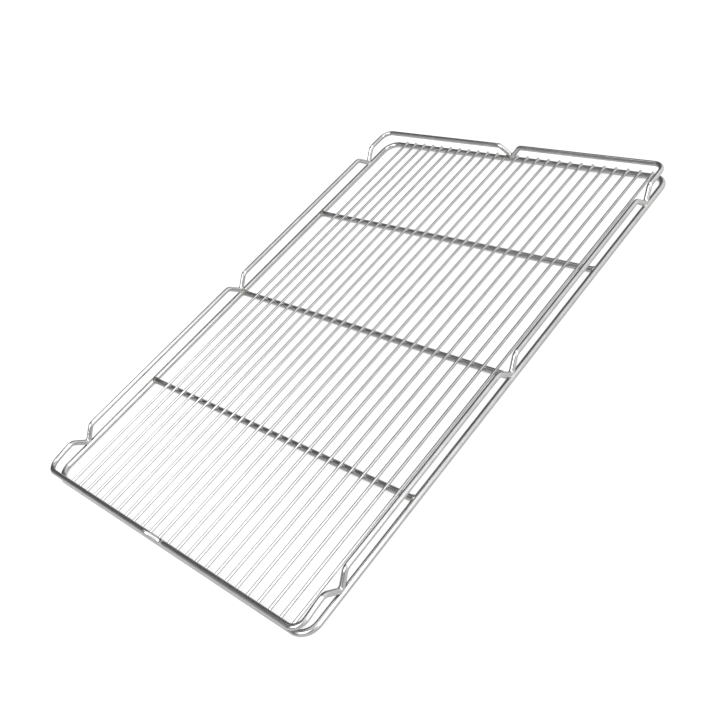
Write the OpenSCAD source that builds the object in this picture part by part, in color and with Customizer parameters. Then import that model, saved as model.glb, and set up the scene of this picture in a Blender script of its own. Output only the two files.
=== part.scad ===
// Bakery cooling rack in bright stainless wire.
// A heavy round wire is bent into the perimeter frame.  Three crossbars are welded between its
// long sides, and a mat of straight grid wires is resistance welded on top of the crossbars and
// of the frame's two short sides.  A thinner rim wire runs all the way round above the frame and
// dips down to it in eight V-shaped bends, where it is spot welded.  Nothing on the rack moves.
//
// X is across the rack, Y is along it with the grid wires, and Z is up.
// The origin is in the middle of the plane that the rack stands on.

/* [Overall size] */
// Outside length of the perimeter frame
overall_l = 600; // [420:5:800]
// Outside width of the perimeter frame
overall_w = 400; // [300:5:600]
// Height of the rim wire's centre line above the frame wire's centre line
rim_rise = 17.5; // [13:0.5:30]

/* [Wire diameters] */
// Diameter of the perimeter frame wire
frame_d = 6.5; // [5:0.1:9]
// Diameter of the rim wire
rim_d = 5.5; // [4:0.1:7]
// Diameter of the three crossbars
crossbar_d = 6.5; // [5:0.1:9]
// Diameter of the grid wires
grid_d = 3; // [2:0.1:4]

/* [Frame and rim corners] */
// Bend radius of the frame's corners, to the wire's centre line
frame_corner_r = 16; // [10:0.5:22]
// Bend radius of the rim's corners, to the wire's centre line
rim_corner_r = 12; // [8:0.5:18]

/* [Rim dips] */
// Slope of the two legs of each dip, in degrees below the horizontal
dip_slope = 45; // [35:1:60]
// Bend radius where the rim turns down into a dip, to the wire's centre line
dip_knee_r = 8; // [5:0.5:12]
// Bend radius at the foot of a dip, to the wire's centre line
dip_foot_r = 4; // [4:0.1:7]
// How much bending upsets the rim wire, added to its diameter at each bend
bend_upset = 0.1; // [0.06:0.02:0.3]
// Distance from the end of the rack to the middle of the dips next to its corners
corner_dip_inset = 50; // [45:1:90]

/* [Crossbars] */
// Distance between the centre lines of neighbouring crossbars
crossbar_spacing = 150; // [80:1:190]

/* [Grid wires] */
// Distance from the last grid wire's centre line to the right frame wire's centre line
grid_edge_gap = 16.5; // [13:0.5:30]
// How far the ends of the grid wires stay inside the outside length of the frame
grid_end_inset = 1.5; // [0:0.1:3]
// Width of the bevel where the ends of the grid wires are deburred
grid_end_bevel = 0.4; // [0.1:0.1:0.8]

/* [Welds] */
// How far a wire sinks into the one that it is resistance welded to
set_down = 0.6; // [0.2:0.1:1]
// Radius of the squeezed-out metal round each spot weld of the rim
spot_weld_r = 3; // [2.5:0.1:4]
// How far the square ends of a crossbar sink into the flanks of the frame wires
end_sink = 1.2; // [0.6:0.1:1.5]
// Thickness of the collar of metal squeezed out round the end of a crossbar
collar_thickness = 0.7; // [0.4:0.1:1.2]
// How far the collar of metal reaches along the crossbar from its end
collar_l = 5; // [3:0.5:8]
// How far the dressed undersides of the collars stay above the surface that the rack stands on
dressed_gap = 0.3; // [0.1:0.1:1]
// Smallest gap between the feet of the rim and the collars of the crossbar in the middle
rim_clearance = 0.3; // [0.1:0.1:0.6]

/* [Hidden] */
$fn = 64;

// One more grid wire lies right of the middle than left of it, so that the rim's feet on the
// short sides come down between two wires
grid_left_count = 12;
grid_right_count = 13;

// Centre lines of the perimeter frame
half_w = (overall_w - frame_d) / 2;
half_l = (overall_l - frame_d) / 2;
frame_z = frame_d / 2;

// The rim's bends are a hair thicker than its straight lengths, which run a little way into them
rim_bend_d = rim_d + bend_upset;
bend_lap = 0.3;

// Heights of the rim's long level runs and of the feet of its dips
rim_z = frame_z + rim_rise;
foot_z = frame_z + (frame_d + rim_bend_d) / 2 - set_down;

// Distance along the rim from the foot of a dip to where the level run begins
dip_drop = rim_z - foot_z - (dip_knee_r + dip_foot_r) * (1 - cos(dip_slope));
dip_reach = (dip_knee_r + dip_foot_r) * sin(dip_slope) + dip_drop / tan(dip_slope);
dip_leg_l = dip_drop / sin(dip_slope);

// Places of the dips along the long sides, front to rear
dip_y = overall_l / 2 - corner_dip_inset;
long_side_dips = [-dip_y, 0, dip_y];

// Places of the crossbars, front to rear
crossbar_y = [-crossbar_spacing, 0, crossbar_spacing];

// The middle of the rack is midway between two grid wires
grid_pitch = (half_w - grid_edge_gap) / (grid_right_count - 0.5);
grid_x_first = -grid_pitch * (grid_left_count - 0.5);
grid_z = frame_z + (frame_d + grid_d) / 2 - set_down;
grid_l = overall_l - 2 * grid_end_inset;

// The crossbars' tops are level with the frame's, so that the grid wires lie flat on both
crossbar_z = frame_d - crossbar_d / 2;
crossbar_half_l = half_w - frame_d / 2 + end_sink;

frame_colour = "lightgray";
rim_colour = "silver";
crossbar_colour = "darkgray";
grid_colour = "gainsboro";
weld_colour = "tan";

// A straight length of wire along +X, starting at the origin
module straight(length, d) {
    rotate([0, 90, 0]) cylinder(d = d, h = length);
}

// A bend in the XY plane round the origin, from angle a by the turn given
module bend(r, a, turn, d) {
    rotate([0, 0, a]) rotate_extrude(angle = turn) translate([r, 0]) circle(d = d);
}

// One dip of the rim, which runs along X with its foot at X = 0, and whose level ends are
// dip_reach to either side of it
module dip() {
    translate([0, 0, foot_z + dip_foot_r]) rotate([90, 0, 0])
        bend(dip_foot_r, 270 - dip_slope, 2 * dip_slope, rim_bend_d);
    for (side = [0, 1]) mirror([side, 0, 0]) dip_arm();
}

// One leg of a dip and the knee above it
module dip_arm() {
    leg_x = dip_foot_r * sin(dip_slope);
    leg_z = foot_z + dip_foot_r * (1 - cos(dip_slope));
    translate([leg_x, 0, leg_z]) rotate([0, -dip_slope, 0]) translate([-bend_lap, 0, 0])
        straight(dip_leg_l + 2 * bend_lap, rim_d);
    translate([dip_reach, 0, rim_z - dip_knee_r]) rotate([90, 0, 0])
        bend(dip_knee_r, 90, dip_slope, rim_bend_d);
}

// A level run of the rim along X from one bend to the next
module rim_run(from, to) {
    translate([from - bend_lap, 0, rim_z]) straight(to - from + 2 * bend_lap, rim_d);
}

// One side of the rim along X, from corner bend to corner bend, with a dip at each place
module rim_side(corner, dips) {
    starts = concat([-corner], [for (place = dips) place + dip_reach]);
    ends = concat([for (place = dips) place - dip_reach], [corner]);
    for (i = [0 : len(dips)]) rim_run(starts[i], ends[i]);
    for (place = dips) translate([place, 0, 0]) dip();
}

// The closed loop of the perimeter frame
module frame_loop() {
    corner_x = half_w - frame_corner_r;
    corner_y = half_l - frame_corner_r;
    translate([0, 0, frame_z]) {
        for (side = [-1, 1]) {
            translate([-corner_x, side * half_l, 0]) straight(2 * corner_x, frame_d);
            translate([side * half_w, -corner_y, 0]) rotate([0, 0, 90])
                straight(2 * corner_y, frame_d);
        }
        for (quarter = [0 : 3]) {
            x = (quarter == 0 || quarter == 3) ? corner_x : -corner_x;
            y = quarter < 2 ? corner_y : -corner_y;
            translate([x, y, 0]) bend(frame_corner_r, 90 * quarter, 90, frame_d);
        }
    }
}

// The closed loop of the rim, with three dips on each long side and one on each short side
module rim_loop() {
    corner_x = half_w - rim_corner_r;
    corner_y = half_l - rim_corner_r;
    for (side = [-1, 1]) {
        translate([0, side * half_l, 0]) rim_side(corner_x, [0]);
        translate([side * half_w, 0, 0]) rotate([0, 0, 90]) rim_side(corner_y, long_side_dips);
    }
    for (quarter = [0 : 3]) {
        x = (quarter == 0 || quarter == 3) ? corner_x : -corner_x;
        y = quarter < 2 ? corner_y : -corner_y;
        translate([x, y, rim_z]) bend(rim_corner_r, 90 * quarter, 90, rim_bend_d);
    }
}

// A crossbar as a plain bar with square ends
module crossbar_blank(y) {
    translate([-crossbar_half_l, y, crossbar_z]) straight(2 * crossbar_half_l, crossbar_d);
}

// The perimeter frame is bent from one length of heavy wire
module perimeter_frame() {
    color(frame_colour) frame_loop();
}

// The rim is bent from one length of thinner wire, and its feet are pressed onto the frame
module rim_wire() {
    color(rim_colour) difference() {
        rim_loop();
        frame_loop();
    }
}

// A crossbar, with its ends shaped to the long frame wires that it is welded between
module crossbar(y) {
    color(crossbar_colour) difference() {
        crossbar_blank(y);
        frame_loop();
    }
}

// One grid wire: straight, with deburred ends, and pressed onto the bars below it
module grid_wire(number) {
    x = grid_x_first + (number - 1) * grid_pitch;
    r = grid_d / 2;
    profile = [
        [0, 0], [r - grid_end_bevel, 0], [r, grid_end_bevel],
        [r, grid_l - grid_end_bevel], [r - grid_end_bevel, grid_l], [0, grid_l]
    ];
    color(grid_colour) difference() {
        translate([x, grid_l / 2, grid_z]) rotate([90, 0, 0]) rotate_extrude() polygon(profile);
        frame_loop();
        for (y = crossbar_y) crossbar_blank(y);
    }
}

// The metal squeezed out round one foot of the rim, on a frame side that runs along X
module spot_weld() {
    difference() {
        translate([0, 0, frame_d - set_down / 2]) sphere(r = spot_weld_r);
        dip();
        translate([-2 * spot_weld_r, 0, frame_z]) straight(4 * spot_weld_r, frame_d);
    }
}

// The eight spot welds that hold the rim down on the frame
module rim_spot_welds() {
    color(weld_colour) {
        for (side = [-1, 1]) translate([0, side * half_l, 0]) spot_weld();
        difference() {
            for (side = [-1, 1], y = long_side_dips)
                translate([side * half_w, y, 0]) rotate([0, 0, 90]) spot_weld();
            for (y = crossbar_y) crossbar_envelope(y);
        }
    }
}

// A crossbar and the collars at both its ends, as one plain shape
module crossbar_envelope(y) {
    d = crossbar_d + 2 * collar_thickness;
    crossbar_blank(y);
    for (side = [0, 1]) mirror([side, 0, 0])
        translate([crossbar_half_l - collar_l, y, crossbar_z]) straight(collar_l, d);
}

// The collar of metal round one end of a crossbar, thickest at the right-hand frame wire
module end_weld() {
    bore_r = crossbar_d / 2;
    tip_thickness = collar_thickness / 5;
    profile = [
        [bore_r, 0], [bore_r + tip_thickness, 0],
        [bore_r + collar_thickness, collar_l / 2], [bore_r + collar_thickness, collar_l],
        [bore_r, collar_l]
    ];
    side_l = 4 * crossbar_d;
    difference() {
        translate([crossbar_half_l - collar_l, 0, crossbar_z]) rotate([0, 90, 0])
            rotate_extrude() polygon(profile);
        translate([half_w, -side_l / 2, frame_z]) rotate([0, 0, 90]) straight(side_l, frame_d);
        translate([half_w - side_l, -side_l / 2, dressed_gap - side_l]) cube(side_l);
    }
}

// The six welds that join the crossbars to the long frame wires, ground clear of the rim's feet
module crossbar_end_welds() {
    foot_room_d = rim_bend_d + 2 * rim_clearance;
    color(weld_colour) difference() {
        for (y = crossbar_y, side = [0, 1]) mirror([side, 0, 0]) translate([0, y, 0]) end_weld();
        for (y = long_side_dips, side = [-1, 1])
            translate([side * half_w, y - foot_room_d, foot_z]) rotate([0, 0, 90])
                straight(2 * foot_room_d, foot_room_d);
    }
}

perimeter_frame();
rim_wire();
crossbar(crossbar_y[0]);  // crossbar_front
crossbar(crossbar_y[1]);  // crossbar_middle
crossbar(crossbar_y[2]);  // crossbar_rear
for (number = [1 : grid_left_count + grid_right_count])
    grid_wire(number);
rim_spot_welds();
crossbar_end_welds();
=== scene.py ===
import math
import random

import bpy
import numpy as np
from mathutils import Matrix, Vector


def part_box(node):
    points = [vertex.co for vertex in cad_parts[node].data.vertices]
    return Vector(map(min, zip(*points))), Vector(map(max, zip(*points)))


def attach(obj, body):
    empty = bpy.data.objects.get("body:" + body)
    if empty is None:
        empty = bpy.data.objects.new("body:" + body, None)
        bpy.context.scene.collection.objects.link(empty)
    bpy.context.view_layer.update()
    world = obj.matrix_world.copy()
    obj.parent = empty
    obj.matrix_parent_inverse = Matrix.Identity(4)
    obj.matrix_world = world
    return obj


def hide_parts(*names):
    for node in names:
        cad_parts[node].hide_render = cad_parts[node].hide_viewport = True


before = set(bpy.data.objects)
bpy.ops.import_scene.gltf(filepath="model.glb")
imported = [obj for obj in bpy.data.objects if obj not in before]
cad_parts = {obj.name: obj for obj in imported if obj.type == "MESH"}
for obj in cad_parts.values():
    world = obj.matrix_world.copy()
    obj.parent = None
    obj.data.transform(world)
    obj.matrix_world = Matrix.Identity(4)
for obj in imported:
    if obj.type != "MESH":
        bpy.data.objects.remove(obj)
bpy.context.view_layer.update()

# Perimeter frame.  One heavy round wire of stainless steel, cold drawn and bright, bent at the four
# corners and butt welded into a closed loop, with the weld ground flush.  Everything else on the
# rack is welded to it.

up = Vector((0, 0, 1))
frame_low, frame_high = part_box("perimeter_frame")
frame_wire = frame_high.z - frame_low.z
frame_level = (frame_low.z + frame_high.z) / 2
frame_half_w = frame_high.x - frame_wire / 2
frame_half_l = frame_high.y - frame_wire / 2
frame_corner = 0.016
ring_spacing = 0.005
degrees_per_ring = 6
heavy_wire_sides = 32
sharp_edge = math.radians(35)


def straight_run(start, end, level):
    """Stations along a level length of a side, as (distance along the side, height, slope)."""
    count = max(1, round(abs(end - start) / ring_spacing))
    return [(start + (end - start) * i / count, level, 0) for i in range(count + 1)]


def bent_loop(half_w, half_l, corner, level, side_stations):
    """Stations round a closed wire, as (place, direction of the wire, direction away from the middle).
    Each side is followed by a corner bend, starting with the right-hand side."""
    stations = []
    bend_steps = 90 // degrees_per_ring
    for quarter in range(4):
        facing = math.radians(90 * quarter)
        outward = Vector((math.cos(facing), math.sin(facing), 0))
        travel = Vector((-math.sin(facing), math.cos(facing), 0))
        reach, half_run = (half_w, half_l - corner) if quarter % 2 == 0 else (half_l, half_w - corner)
        for distance, height, slope in side_stations(quarter, half_run):
            place = outward * reach + travel * distance + up * height
            along = travel * math.cos(slope) + up * math.sin(slope)
            stations.append((place, along, outward))
        pivot = outward * (reach - corner) + travel * half_run + up * level
        for step in range(1, bend_steps):
            turn = math.radians(degrees_per_ring * step)
            away = outward * math.cos(turn) + travel * math.sin(turn)
            along = travel * math.cos(turn) - outward * math.sin(turn)
            stations.append((pivot + away * corner, along, away))
    return stations


def heat_at(points, welds):
    """How strongly each point was heated by the welds near it, from 0 to 1.
    A weld is (place, how far its heat reached, how hot the surface got)."""
    heat = np.zeros(len(points))
    for place, reach, peak in welds:
        distance = np.linalg.norm(points - np.array(place), axis=1)
        heat = np.maximum(heat, peak * np.exp(-(distance / reach) ** 2))
    return heat


def drawn_wire(name, stations, diameter, sides, closed, welds, bevel=0.0):
    """A round wire swept along its stations.  Open wires get flat sheared ends, bevelled if asked.
    Each corner of the mesh keeps its place on the wire before it was bent, for the drawing lines."""
    radius = diameter / 2
    girths = [radius] * len(stations)
    if not closed:
        (first, first_along, first_out), (last, last_along, last_out) = stations[0], stations[-1]
        stations = [stations[0], (first + first_along * bevel, first_along, first_out)] + stations[1:-1]
        stations += [(last - last_along * bevel, last_along, last_out), (last, last_along, last_out)]
        girths = [radius - bevel] + [radius] * (len(stations) - 2) + [radius - bevel]
    runs = [0.0]
    for (before, _, _), (after, _, _) in zip(stations, stations[1:] + stations[:1]):
        runs.append(runs[-1] + (after - before).length)
    points = []
    for (place, along, out), girth in zip(stations, girths):
        across = along.cross(out)
        for k in range(sides):
            angle = 2 * math.pi * k / sides
            points.append(place + (out * math.cos(angle) + across * math.sin(angle)) * girth)
    faces, unbent = [], []
    for i in range(len(stations) if closed else len(stations) - 1):
        for k in range(sides):
            j, m = (i + 1) % len(stations), (k + 1) % sides
            faces.append((i * sides + k, i * sides + m, j * sides + m, j * sides + k))
            for run, place in ((i, k), (i, k + 1), (i + 1, k + 1), (i + 1, k)):
                angle = 2 * math.pi * place / sides
                unbent.append((runs[run], radius * math.cos(angle), radius * math.sin(angle)))
    if not closed:
        end = (len(stations) - 1) * sides
        faces.append(tuple(reversed(range(sides))))
        faces.append(tuple(range(end, end + sides)))
        for run, order in ((0.0, reversed(range(sides))), (runs[-2], range(sides))):
            for k in order:
                angle = 2 * math.pi * k / sides
                unbent.append((run, girths[0] * math.cos(angle), girths[0] * math.sin(angle)))
    mesh = bpy.data.meshes.new(name)
    mesh.from_pydata(points, [], faces)
    mesh.attributes.new("unbent", "FLOAT_VECTOR", "CORNER").data.foreach_set("vector", np.ravel(unbent))
    heat = heat_at(np.array(points), welds)
    mesh.attributes.new("heat", "FLOAT", "POINT").data.foreach_set("value", heat)
    mesh.shade_smooth()
    mesh.set_sharp_from_angle(angle=sharp_edge)
    wire = bpy.data.objects.new(name, mesh)
    bpy.context.scene.collection.objects.link(wire)
    return wire


def drawn_steel(name, clean, dull, smooth, rough):
    """Bright cold-drawn stainless wire: fine lines along the wire, faint duller patches, and the
    straw to brown tint that welding leaves."""
    material = bpy.data.materials.new(name)
    material.use_nodes = True
    nodes, links = material.node_tree.nodes, material.node_tree.links
    steel = nodes["Principled BSDF"]
    steel.inputs["Metallic"].default_value = 1.0

    unbent = nodes.new("ShaderNodeAttribute")
    unbent.attribute_name = "unbent"
    line_stretch = nodes.new("ShaderNodeMapping")
    line_stretch.inputs["Scale"].default_value = (40, 3500, 3500)
    lines = nodes.new("ShaderNodeTexNoise")
    lines.inputs["Scale"].default_value = 1.0
    lines.inputs["Detail"].default_value = 3.0
    links.new(unbent.outputs["Vector"], line_stretch.inputs["Vector"])
    links.new(line_stretch.outputs["Vector"], lines.inputs["Vector"])

    patch_stretch = nodes.new("ShaderNodeMapping")
    patch_stretch.inputs["Scale"].default_value = (70, 260, 260)
    patches = nodes.new("ShaderNodeTexNoise")
    patches.inputs["Scale"].default_value = 1.0
    patches.inputs["Detail"].default_value = 5.0
    patches.inputs["Roughness"].default_value = 0.6
    links.new(unbent.outputs["Vector"], patch_stretch.inputs["Vector"])
    links.new(patch_stretch.outputs["Vector"], patches.inputs["Vector"])

    patch_ramp = nodes.new("ShaderNodeValToRGB")
    patch_ramp.color_ramp.elements[0].position = 0.35
    patch_ramp.color_ramp.elements[0].color = (*clean, 1)
    patch_ramp.color_ramp.elements[1].position = 0.72
    patch_ramp.color_ramp.elements[1].color = (*dull, 1)
    links.new(patches.outputs["Fac"], patch_ramp.inputs["Fac"])

    heat = nodes.new("ShaderNodeAttribute")
    heat.attribute_name = "heat"
    uneven_heat = nodes.new("ShaderNodeMath")
    uneven_heat.operation = "MULTIPLY_ADD"
    uneven_heat.inputs[1].default_value = 0.5
    links.new(patches.outputs["Fac"], uneven_heat.inputs[0])
    links.new(heat.outputs["Fac"], uneven_heat.inputs[2])
    heat_gate = nodes.new("ShaderNodeMath")
    heat_gate.operation = "MULTIPLY"
    heat_gate.use_clamp = True
    links.new(uneven_heat.outputs["Value"], heat_gate.inputs[0])
    links.new(heat.outputs["Fac"], heat_gate.inputs[1])

    tint = nodes.new("ShaderNodeValToRGB")
    tint.color_ramp.elements[0].position = 0.0
    tint.color_ramp.elements[0].color = (0.66, 0.62, 0.50, 1)
    tint.color_ramp.elements[1].position = 1.0
    tint.color_ramp.elements[1].color = (0.30, 0.28, 0.27, 1)
    tint.color_ramp.elements.new(0.45).color = (0.58, 0.49, 0.32, 1)
    tint.color_ramp.elements.new(0.75).color = (0.40, 0.30, 0.21, 1)
    links.new(heat_gate.outputs["Value"], tint.inputs["Fac"])
    colour = nodes.new("ShaderNodeMix")
    colour.data_type = "RGBA"
    links.new(heat_gate.outputs["Value"], colour.inputs["Factor"])
    links.new(patch_ramp.outputs["Color"], colour.inputs["A"])
    links.new(tint.outputs["Color"], colour.inputs["B"])
    links.new(colour.outputs["Result"], steel.inputs["Base Color"])

    sheen = nodes.new("ShaderNodeMapRange")
    sheen.inputs["From Min"].default_value = 0.3
    sheen.inputs["From Max"].default_value = 0.7
    sheen.inputs["To Min"].default_value = smooth
    sheen.inputs["To Max"].default_value = rough
    links.new(lines.outputs["Fac"], sheen.inputs["Value"])
    dulled = nodes.new("ShaderNodeMath")
    dulled.operation = "MULTIPLY_ADD"
    dulled.inputs[1].default_value = 0.16
    links.new(heat.outputs["Fac"], dulled.inputs[0])
    links.new(sheen.outputs["Result"], dulled.inputs[2])
    links.new(dulled.outputs["Value"], steel.inputs["Roughness"])

    relief = nodes.new("ShaderNodeBump")
    relief.inputs["Strength"].default_value = 0.35
    relief.inputs["Distance"].default_value = 0.00004
    links.new(lines.outputs["Fac"], relief.inputs["Height"])
    links.new(relief.outputs["Normal"], steel.inputs["Normal"])
    return material


def finish_piece(piece, material, slot, *nodes):
    """Give a piece its material, and let it stand for its CAD nodes."""
    piece.data.materials.append(material)
    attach(piece, "root")
    if nodes:
        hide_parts(*nodes)


grid_names = [f"grid_wire_{number:02d}" for number in range(1, 26)]
grid_boxes = {name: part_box(name) for name in grid_names}
grid_x = {name: (low.x + high.x) / 2 for name, (low, high) in grid_boxes.items()}
crossbar_names = ["crossbar_front", "crossbar_middle", "crossbar_rear"]
crossbar_boxes = {name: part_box(name) for name in crossbar_names}
crossbar_y = {name: (low.y + high.y) / 2 for name, (low, high) in crossbar_boxes.items()}
frame_top = frame_high.z

# Where the rim's feet stand on the frame: beside the corners and in the middle of each long side,
# and in the middle of each short side.
corner_dip_inset = 0.050
foot_y = frame_high.y - corner_dip_inset
long_side_feet = [-foot_y, 0.0, foot_y]
rim_feet = [Vector((side * frame_half_w, y, frame_top)) for side in (-1, 1) for y in long_side_feet]
rim_feet += [Vector((0, side * frame_half_l, frame_top)) for side in (-1, 1)]

temper = random.Random(11)


def weld_heat(place, reach, reach_spread, peak, peak_spread):
    """A weld, as (place, how far its heat reached, how hot the surface got), no two quite alike."""
    return (place, reach + reach_spread * temper.random(), peak + peak_spread * temper.random())


foot_welds = [weld_heat(foot, reach=0.0075, reach_spread=0.003, peak=0.75, peak_spread=0.25)
              for foot in rim_feet]
end_welds = [weld_heat(Vector((side * (frame_half_w - frame_wire / 2), y, frame_level)),
                       reach=0.0065, reach_spread=0.003, peak=0.6, peak_spread=0.3)
             for side in (-1, 1) for y in crossbar_y.values()]
crossing_welds = {
    name: [weld_heat(Vector((x, y, frame_top)),
                     reach=0.0030, reach_spread=0.0010, peak=0.35, peak_spread=0.3)
           for y in (-frame_half_l, *crossbar_y.values(), frame_half_l)]
    for name, x in grid_x.items()
}
frame_welds = foot_welds + end_welds
for welds in crossing_welds.values():
    frame_welds += [welds[0], welds[-1]]

frame_steel = drawn_steel("frame wire steel", clean=(0.42, 0.42, 0.416), dull=(0.33, 0.33, 0.334),
                          smooth=0.16, rough=0.30)


def frame_side(quarter, half_run):
    return straight_run(-half_run, half_run, frame_level)


perimeter = drawn_wire(
    "perimeter_frame_wire",
    bent_loop(frame_half_w, frame_half_l, frame_corner, frame_level, frame_side),
    frame_wire, heavy_wire_sides, True, frame_welds)
finish_piece(perimeter, frame_steel, "frame_wire_steel", "perimeter_frame")

# Crossbars.  Three straight lengths of the same heavy wire, cut square and pressed between the long
# sides of the frame while the joint is hot.  Their tops are level with the frame's.

# Painted shade: the crossbars are the same wire as the frame, but their steel colour, clean and dull alike,
# is painted darker than the frame's.
crossbar_steel_painted_shade = drawn_steel("crossbar wire steel painted shade", clean=(0.38, 0.38, 0.38), dull=(0.30, 0.30, 0.305),
                             smooth=0.16, rough=0.28)


def straight_wire(start, end, out):
    """Stations along a straight wire between two points."""
    along = (end - start).normalized()
    count = round((end - start).length / ring_spacing)
    return [(start.lerp(end, i / count), along, out) for i in range(count + 1)]


crossbar_bevel = 0.0003
same_bar = 0.001
for bar, name in enumerate(crossbar_names):
    low, high = crossbar_boxes[name]
    level = (low.z + high.z) / 2
    welds = [weld for weld in end_welds if abs(weld[0].y - crossbar_y[name]) < same_bar]
    welds += [crossing_welds[grid][1 + bar] for grid in grid_names]
    left_end = Vector((low.x, crossbar_y[name], level))
    right_end = Vector((high.x, crossbar_y[name], level))
    piece = drawn_wire(name + "_wire", straight_wire(left_end, right_end, Vector((0, 1, 0))),
                       high.z - low.z, heavy_wire_sides, False, welds, bevel=crossbar_bevel)
    finish_piece(piece, crossbar_steel_painted_shade, "crossbar_wire_steel", name)

# Grid wires.  Twenty-five thin straight wires, resistance welded on top of the crossbars and of the
# frame's short sides, sheared to length and deburred.  Between the welds each bows very slightly.

grid_steel = drawn_steel("grid wire steel", clean=(0.44, 0.44, 0.436), dull=(0.35, 0.35, 0.354),
                         smooth=0.15, rough=0.28)
grid_bevel = 0.0004
grid_bow = 0.00018
grid_ring_spacing = 0.004
grid_wire_sides = 20
bays = sorted([-frame_half_l, *crossbar_y.values(), frame_half_l])


def bowed_wire(x, level, front, rear, sway, sag):
    """Stations along a grid wire, which is held at the bars and bows a little in each bay."""
    stations = []
    count = round((rear - front) / grid_ring_spacing)
    for i in range(count + 1):
        y = front + (rear - front) * i / count
        aside = drop = 0.0
        for bay, (near, far) in enumerate(zip(bays, bays[1:])):
            if near < y < far:
                swell = math.sin(math.pi * (y - near) / (far - near)) ** 2
                aside, drop = sway[bay] * swell, sag[bay] * swell
        stations.append((Vector((x + aside, y, level + drop)), Vector((0, 1, 0)), Vector((1, 0, 0))))
    return stations


for name in grid_names:
    low, high = grid_boxes[name]
    diameter = high.z - low.z
    level = (low.z + high.z) / 2
    sway = [temper.uniform(-grid_bow, grid_bow) for _ in bays[1:]]
    sag = [temper.uniform(-grid_bow, grid_bow) / 2 for _ in bays[1:]]
    piece = drawn_wire(name + "_drawn", bowed_wire(grid_x[name], level, low.y, high.y, sway, sag),
                       diameter, grid_wire_sides, False, crossing_welds[name], bevel=grid_bevel)
    finish_piece(piece, grid_steel, "grid_wire_steel", name)

# Grid weld flash.  At every crossing the current softens both wires, the electrodes press them
# together, and a little metal is squeezed out round the seat.  It is left as it comes.

sunk = frame_top - grid_boxes[grid_names[0]][0].z
grid_radius = (grid_boxes[grid_names[0]][1].z - grid_boxes[grid_names[0]][0].z) / 2


def weld_metal(name, colour, burnt, rough):
    """Metal that has melted and set: uneven, dull, and darker in its hollows."""
    material = bpy.data.materials.new(name)
    material.use_nodes = True
    nodes, links = material.node_tree.nodes, material.node_tree.links
    steel = nodes["Principled BSDF"]
    steel.inputs["Metallic"].default_value = 1.0
    place = nodes.new("ShaderNodeTexCoord")
    grain = nodes.new("ShaderNodeTexNoise")
    grain.inputs["Scale"].default_value = 900.0
    grain.inputs["Detail"].default_value = 4.0
    links.new(place.outputs["Object"], grain.inputs["Vector"])
    stain = nodes.new("ShaderNodeTexNoise")
    stain.inputs["Scale"].default_value = 240.0
    stain.inputs["Detail"].default_value = 3.0
    links.new(place.outputs["Object"], stain.inputs["Vector"])
    ramp = nodes.new("ShaderNodeValToRGB")
    ramp.color_ramp.elements[0].position = 0.38
    ramp.color_ramp.elements[0].color = (*burnt, 1)
    ramp.color_ramp.elements[1].position = 0.62
    ramp.color_ramp.elements[1].color = (*colour, 1)
    links.new(stain.outputs["Fac"], ramp.inputs["Fac"])
    links.new(ramp.outputs["Color"], steel.inputs["Base Color"])
    sheen = nodes.new("ShaderNodeMapRange")
    sheen.inputs["To Min"].default_value = rough - 0.1
    sheen.inputs["To Max"].default_value = rough + 0.14
    links.new(grain.outputs["Fac"], sheen.inputs["Value"])
    links.new(sheen.outputs["Result"], steel.inputs["Roughness"])
    relief = nodes.new("ShaderNodeBump")
    relief.inputs["Strength"].default_value = 0.6
    relief.inputs["Distance"].default_value = 0.0001
    links.new(grain.outputs["Fac"], relief.inputs["Height"])
    links.new(relief.outputs["Normal"], steel.inputs["Normal"])
    return material


def bead_ring(points, faces, places, girths, sides):
    """Add a closed bead to a mesh: a tube of changing girth round a closed line of places."""
    start = len(points)
    count = len(places)
    for i, place in enumerate(places):
        along = (places[(i + 1) % count] - places[i - 1]).normalized()
        out = along.cross(up).normalized()
        across = along.cross(out)
        for k in range(sides):
            angle = 2 * math.pi * k / sides
            points.append(place + (out * math.cos(angle) + across * math.sin(angle)) * girths[i])
    for i in range(count):
        for k in range(sides):
            j, m = (i + 1) % count, (k + 1) % sides
            faces.append((start + i * sides + k, start + i * sides + m,
                          start + j * sides + m, start + j * sides + k))


def mesh_piece(name, points, faces):
    """A smooth-shaded object from points and faces."""
    mesh = bpy.data.meshes.new(name)
    mesh.from_pydata(points, [], faces)
    mesh.shade_smooth()
    piece = bpy.data.objects.new(name, mesh)
    bpy.context.scene.collection.objects.link(piece)
    return piece


flash_metal = weld_metal("grid weld flash", colour=(0.48, 0.47, 0.45), burnt=(0.34, 0.31, 0.28),
                         rough=0.40)
flash_girth = 0.00030
flash_steps = 16
flash_sides = 8
flash_unevenness = 0.10
crossed_bars = [(-frame_half_l, frame_wire / 2, frame_level)]
for name in crossbar_names:
    low, high = crossbar_boxes[name]
    crossed_bars.append((crossbar_y[name], (high.z - low.z) / 2, (high.z + low.z) / 2))
crossed_bars.append((frame_half_l, frame_wire / 2, frame_level))
for bar, (bar_y, bar_radius, bar_level) in enumerate(crossed_bars):
    points, faces = [], []
    half_x = math.sqrt(2 * grid_radius * sunk)
    half_y = math.sqrt(2 * bar_radius * sunk)
    for name in grid_names:
        places, girths = [], []
        for step in range(flash_steps):
            angle = 2 * math.pi * step / flash_steps
            swell = 1 + flash_unevenness * temper.uniform(-1, 1)
            y = half_y * swell * math.sin(angle)
            height = bar_level + math.sqrt(bar_radius ** 2 - y ** 2)
            places.append(Vector((grid_x[name] + half_x * swell * math.cos(angle), bar_y + y, height)))
            girths.append(flash_girth * temper.uniform(0.7, 1.3))
        bead_ring(points, faces, places, girths, flash_sides)
    piece = mesh_piece(f"grid_weld_flash_{bar + 1}", points, faces)
    finish_piece(piece, flash_metal, "weld_metal")

# Rim.  One thinner wire bent into a closed loop above the frame.  In eight places it dips down in a
# V with rounded knees, and the foot of each V is spot welded to the frame.

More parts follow.
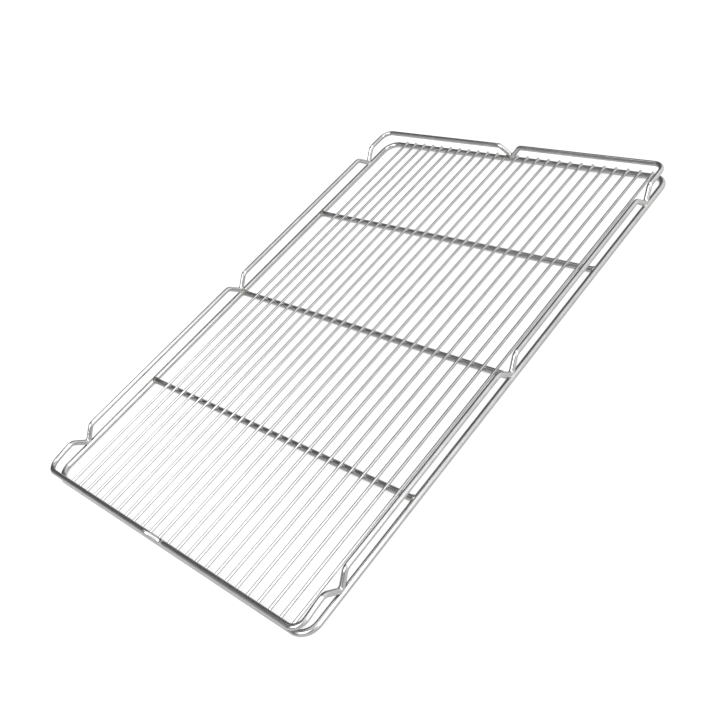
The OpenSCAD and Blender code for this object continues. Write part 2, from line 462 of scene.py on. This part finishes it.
rim_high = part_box("rim_wire")[1]
rim_wire = 0.0055
rim_bend_wire = 0.0056
rim_level = rim_high.z - rim_bend_wire / 2
rim_corner = 0.012
dip_slope = math.radians(45)
dip_knee = 0.008
dip_foot = 0.004
foot_seat = 0.0006
foot_steps = 6
knee_steps = 8
rim_wire_sides = 28
foot_level = frame_top + rim_bend_wire / 2 - foot_seat
dip_drop = rim_level - foot_level - (dip_knee + dip_foot) * (1 - math.cos(dip_slope))
dip_reach = (dip_knee + dip_foot) * math.sin(dip_slope) + dip_drop / math.tan(dip_slope)


def dip_stations(middle):
    """Stations down one leg of a dip, round its foot and up the other leg."""
    half = []
    for step in range(foot_steps + 1):
        turn = dip_slope * step / foot_steps
        half.append((dip_foot * math.sin(turn), foot_level + dip_foot * (1 - math.cos(turn)), turn))
    distance, height, _ = half[-1]
    for share in (0.25, 0.5, 0.75):
        leg = share * dip_drop / math.sin(dip_slope)
        half.append((distance + leg * math.cos(dip_slope), height + leg * math.sin(dip_slope), dip_slope))
    for step in range(knee_steps + 1):
        turn = dip_slope * (1 - step / knee_steps)
        half.append((dip_reach - dip_knee * math.sin(turn),
                     rim_level - dip_knee * (1 - math.cos(turn)), turn))
    left = [(middle - distance, height, -slope) for distance, height, slope in reversed(half[1:])]
    return left + [(middle + distance, height, slope) for distance, height, slope in half]


def rim_side(quarter, half_run):
    """A side of the rim, with three dips on a long side and one on a short side."""
    dips = long_side_feet if quarter % 2 == 0 else [0.0]
    stations, start = [], -half_run
    for middle in dips:
        stations += straight_run(start, middle - dip_reach, rim_level)[:-1]
        stations += dip_stations(middle)[:-1]
        start = middle + dip_reach
    return stations + straight_run(start, half_run, rim_level)


# Bent by hand, the run in front of the first dips leans out a little and stands lower than the rest.
front_lean = 0.0020
front_drop = 0.0022
lean_start = foot_y + dip_reach


def hand_bent(station):
    """A station of the rim, moved as far as the front run leans there."""
    place, along, out = station
    share = min(max((-place.y - lean_start) / (frame_half_l - lean_start), 0.0), 1.0)
    share *= share * (3 - 2 * share)
    rise = (place.z - foot_level) / (rim_level - foot_level)
    return place + Vector((0, -front_lean, -front_drop)) * share * rise, along, out


rim_steel = drawn_steel("rim wire steel", clean=(0.43, 0.43, 0.426), dull=(0.34, 0.34, 0.344),
                        smooth=0.15, rough=0.28)
rim_stations = bent_loop(frame_half_w, frame_half_l, rim_corner, rim_level, rim_side)
rim = drawn_wire("rim_wire_bent", [hand_bent(station) for station in rim_stations],
                 rim_wire, rim_wire_sides, True, foot_welds)
finish_piece(rim, rim_steel, "rim_wire_steel", "rim_wire")

# Rim spot welds.  The foot of each dip is pressed onto the frame and welded through, and the metal
# squeezed out fills the groove on both sides of the seat.

spot_metal = weld_metal("rim spot weld", colour=(0.66, 0.63, 0.57), burnt=(0.40, 0.33, 0.26),
                        rough=0.36)
spot_girth = 0.00072
spot_steps = 28
spot_sides = 10
spot_spread = 1.25
spot_unevenness = 0.0006
spot_half_l = math.sqrt(2 * (dip_foot + rim_bend_wire / 2) * foot_seat)
spot_half_w = math.sqrt(2 * foot_seat / (2 / frame_wire + 2 / rim_bend_wire))
points, faces = [], []
for foot in rim_feet:
    on_long_side = abs(foot.x) > frame_half_w / 2
    along = Vector((0, 1, 0)) if on_long_side else Vector((1, 0, 0))
    across = Vector((1, 0, 0)) if on_long_side else Vector((0, 1, 0))
    places, girths = [], []
    for step in range(spot_steps):
        angle = 2 * math.pi * step / spot_steps
        aside = spot_half_w * math.cos(angle) * spot_spread
        height = frame_level + math.sqrt((frame_wire / 2) ** 2 - aside ** 2)
        forward = (spot_half_l + spot_unevenness * temper.random()) * math.sin(angle)
        places.append(Vector((foot.x, foot.y, height)) + along * forward + across * aside)
        girths.append(spot_girth * temper.uniform(0.8, 1.2))
    bead_ring(points, faces, places, girths, spot_sides)
spots = mesh_piece("rim_spot_weld_beads", points, faces)
finish_piece(spots, spot_metal, "weld_metal", "rim_spot_welds")

# Crossbar end welds.  Each crossbar's square end is pressed into the flank of the frame wire, and
# the groove round it is filled by a short fillet with the ripples of its setting.

fillet_metal = weld_metal("crossbar end weld", colour=(0.50, 0.49, 0.46), burnt=(0.36, 0.33, 0.29),
                          rough=0.34)
fillet_steps = 72
fillet_leg = 0.0034
fillet_crown = 0.0004
fillet_points = 7
skirt_side = 0.0012
skirt_top = 0.0004
buried_share = 0.72
ripple_count = 13
ripple_height = 0.03
ripple_unevenness = 0.015
flank_share = 0.92
crest_inset = frame_wire / 6
skirt_curve = 2.2
toe_sink = 0.00015
flank_overlap = 0.0004
root_depth = 0.0012
toe_inset = 0.0004
ground_gap = 0.0003
points, faces = [], []
for side in (-1, 1):
    for name in crossbar_names:
        low, high = crossbar_boxes[name]
        bar_radius = (high.z - low.z) / 2
        bar_level = (high.z + low.z) / 2
        start = len(points)
        for step in range(fillet_steps):
            angle = 2 * math.pi * step / fillet_steps
            ripple = (1 + ripple_height * math.sin(ripple_count * angle)
                      + ripple_unevenness * temper.uniform(-1, 1))
            lift = bar_radius * math.sin(angle)
            aside = bar_radius * math.cos(angle)
            # The fillet ends a little inside the flank of the frame wire, and near its crest it stops short
            # of the middle.
            half_chord = math.sqrt(max((frame_wire / 2) ** 2 - lift ** 2, 0.0))
            flank = frame_half_w - max(flank_share * half_chord, crest_inset)
            on_bar = flank - fillet_leg * ripple
            # It spreads most beside the bar, in the groove, and least over and under it.
            skirt = skirt_side + (skirt_top - skirt_side) * math.sin(angle) ** 2
            for k in range(fillet_points):
                share = k / (fillet_points - 1)
                bulge = fillet_crown * ripple * math.sin(math.pi * share) + skirt * share ** skirt_curve
                grow = 1 + (bulge - toe_sink) / bar_radius
                x = on_bar + (flank + flank_overlap - on_bar) * share
                height = max(bar_level + lift * grow, ground_gap)
                points.append(Vector((side * x, crossbar_y[name] + aside * grow, height)))
            for x in (flank + root_depth, on_bar + toe_inset):
                points.append(Vector((side * x, crossbar_y[name] + aside * buried_share,
                                      bar_level + lift * buried_share)))
        ring = fillet_points + 2
        for step in range(fillet_steps):
            after = (step + 1) % fillet_steps
            for k in range(ring):
                m = (k + 1) % ring
                face = (start + step * ring + k, start + step * ring + m,
                        start + after * ring + m, start + after * ring + k)
                faces.append(face if side < 0 else tuple(reversed(face)))
fillets = mesh_piece("crossbar_end_fillets", points, faces)
finish_piece(fillets, fillet_metal, "weld_metal", "crossbar_end_welds")

# Floor.  A flat sheet of dull studio paper that the rack stands on.  The paper is grey but glows
# evenly, so it looks white and shows hardly any shadow.

floor_size = 14.0
corners = [Vector((x * floor_size, y * floor_size, frame_low.z))
           for x, y in ((-1, -1), (1, -1), (1, 1), (-1, 1))]
floor = mesh_piece("studio_floor", corners, [(0, 1, 2, 3)])
paper = bpy.data.materials.new("pale studio paper")
paper.use_nodes = True
paper_shader = paper.node_tree.nodes["Principled BSDF"]
paper_shader.inputs["Base Color"].default_value = (0.18, 0.18, 0.18, 1)
paper_shader.inputs["Roughness"].default_value = 0.9
paper_shader.inputs["Emission Color"].default_value = (1.0, 1.0, 1.0, 1)
paper_shader.inputs["Emission Strength"].default_value = 0.80
floor.data.materials.append(paper)

# Light.  A dim room with a pale wall to the right, a long bright window just behind the middle that
# stops short of the left, a weak lamp at the front left, and a low glow that is stronger to the right.
# One broad soft lamp shines down from high at the front.

room = bpy.data.worlds.new("studio room")
room.use_nodes = True
room_nodes, room_links = room.node_tree.nodes, room.node_tree.links
direction = room_nodes.new("ShaderNodeTexCoord")
axes = room_nodes.new("ShaderNodeSeparateXYZ")
room_links.new(direction.outputs["Generated"], axes.inputs["Vector"])


def wall(axis, dark_at, light_at, darkest, lightest):
    """Brightness that rises smoothly along one axis of the room."""
    ramp = room_nodes.new("ShaderNodeMapRange")
    ramp.interpolation_type = "SMOOTHSTEP"
    ramp.inputs["From Min"].default_value = dark_at
    ramp.inputs["From Max"].default_value = light_at
    ramp.inputs["To Min"].default_value = darkest
    ramp.inputs["To Max"].default_value = lightest
    room_links.new(axes.outputs[axis], ramp.inputs["Value"])
    return ramp.outputs["Result"]


def combined(operation, first, second):
    """Two brightnesses multiplied or added."""
    both = room_nodes.new("ShaderNodeMath")
    both.operation = operation
    for socket, value in zip(both.inputs, (first, second)):
        if isinstance(value, float):
            socket.default_value = value
        else:
            room_links.new(value, socket)
    return both.outputs["Value"]


right_wall = combined(
    "MULTIPLY",
    wall("X", dark_at=-0.38, light_at=0.28, darkest=0.0, lightest=1.45),
    wall("Y", dark_at=-0.60, light_at=-0.20, darkest=0.25, lightest=1.0))
window_width = combined(
    "MULTIPLY",
    wall("Y", dark_at=0.33, light_at=0.20, darkest=0.0, lightest=1.0),
    wall("Y", dark_at=-0.08, light_at=0.12, darkest=0.0, lightest=1.0))
window = combined(
    "MULTIPLY",
    wall("X", dark_at=-0.62, light_at=-0.42, darkest=0.0, lightest=3.2),
    window_width)
left_lamp = combined(
    "MULTIPLY",
    wall("Y", dark_at=-0.28, light_at=-0.45, darkest=0.0, lightest=0.45),
    wall("X", dark_at=-0.40, light_at=-0.60, darkest=0.0, lightest=1.0))
lit_room = combined("ADD", combined("ADD", right_wall, window), left_lamp)
above_floor = combined(
    "MULTIPLY",
    lit_room,
    wall("Z", dark_at=-0.10, light_at=0.14, darkest=0.0, lightest=1.0))
low_glow = combined(
    "MULTIPLY",
    wall("X", dark_at=-0.50, light_at=0.10, darkest=0.38, lightest=0.90),
    wall("Z", dark_at=0.16, light_at=-0.04, darkest=0.0, lightest=1.0))
dim_level = 0.19
brightness = combined("ADD", combined("ADD", above_floor, low_glow), dim_level)
room_links.new(brightness, room_nodes["Background"].inputs["Strength"])
room_nodes["Background"].inputs["Color"].default_value = (1.0, 1.0, 1.0, 1)
bpy.context.scene.world = room

lamp = bpy.data.lights.new("broad front lamp", "SUN")
lamp.energy = 2.4
lamp.angle = math.radians(40)
lamp_stand = bpy.data.objects.new("broad front lamp", lamp)
lamp_shines = Vector((-0.1, 0.65, -0.76))
lamp_stand.rotation_euler = lamp_shines.to_track_quat("-Z", "Y").to_euler()
bpy.context.scene.collection.objects.link(lamp_stand)

# Camera.  It looks down at the rack from beyond its right front corner, about 40 degrees above the
# floor, and is rolled about 28 degrees.

view_azimuth = math.radians(59.03)
view_elevation = math.radians(39.73)
view_roll = math.radians(27.59)
view_distance = 0.9431
aim = Vector((0.0356, -0.0366, 0.0))
toward_camera = Vector((math.cos(view_elevation) * math.sin(view_azimuth),
                        -math.cos(view_elevation) * math.cos(view_azimuth),
                        math.sin(view_elevation)))
lens = bpy.data.cameras.new("camera")
lens.sensor_width = 36.0
lens.lens = 46.15
camera = bpy.data.objects.new("camera", lens)
level_turn = (-toward_camera).to_track_quat("-Z", "Y").to_matrix().to_4x4()
camera.matrix_world = (Matrix.Translation(aim + toward_camera * view_distance)
                       @ level_turn @ Matrix.Rotation(-view_roll, 4, "Z"))
bpy.context.scene.collection.objects.link(camera)
bpy.context.scene.camera = camera
bpy.context.scene.view_settings.view_transform = "Standard"
